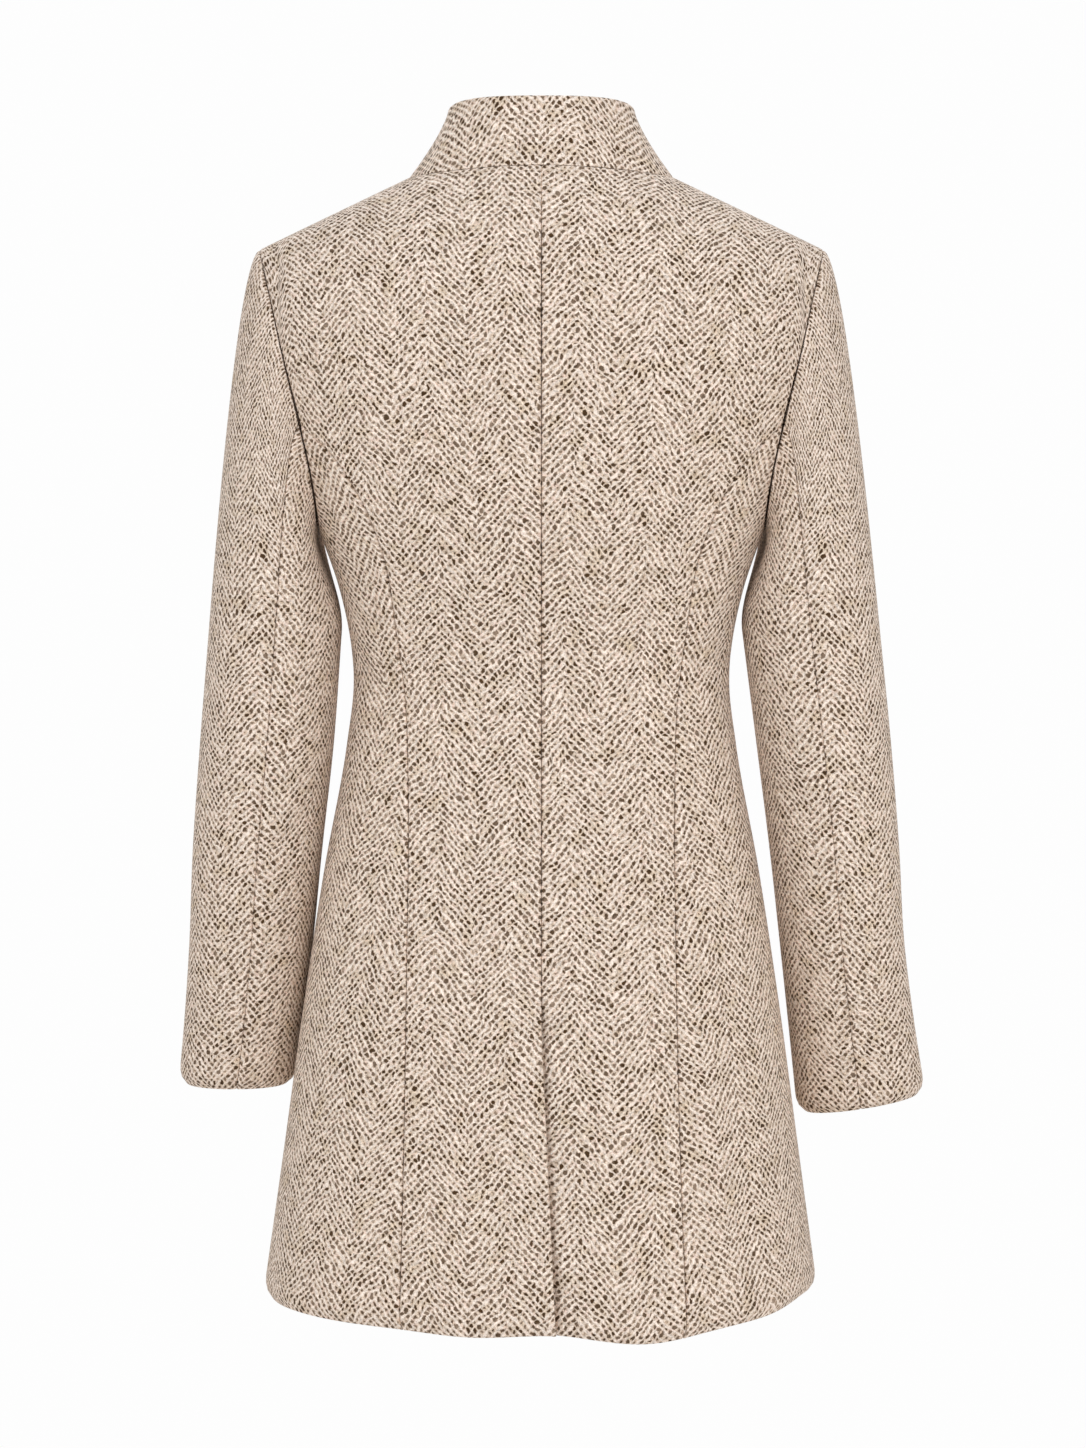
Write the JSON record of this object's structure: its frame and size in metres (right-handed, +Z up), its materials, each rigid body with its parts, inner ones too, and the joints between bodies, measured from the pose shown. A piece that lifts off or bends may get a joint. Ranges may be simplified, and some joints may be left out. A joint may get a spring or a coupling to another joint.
{
  "type": "duster coat",
  "caption": "Fitted herringbone tweed coat with a stand collar, shaping seams, set-in sleeves, a buttoned front and a back vent, hollow as it is worn.",
  "frame": {"origin": "middle of the neck opening, level with the collar seam at the centre back, where the wearer's neck and shoulders hold the coat", "axes": "+Z up along the wearer's height, -Y the way the coat faces, +X the wearer's left"},
  "size_m": [0.5482, 0.3008, 0.8671],
  "materials": {
    "tweed": "brushed wool tweed with a herringbone weave, matt",
    "button": "dark horn-like plastic, half gloss",
    "thread": "matt sewing thread"
  },
  "bodies": {
    "root": {"back_left": "tweed", "back_right": "tweed", "side_left": "tweed", "side_right": "tweed", "front_left": "tweed", "front_right": "tweed", "collar": "tweed", "sleeve_upper_left": "tweed", "sleeve_under_left": "tweed", "sleeve_upper_right": "tweed", "sleeve_under_right": "tweed", "button_1": "button", "button_2": "button", "button_3": "button", "button_4": "button", "button_5": "button"}
  },
  "joints": []
}
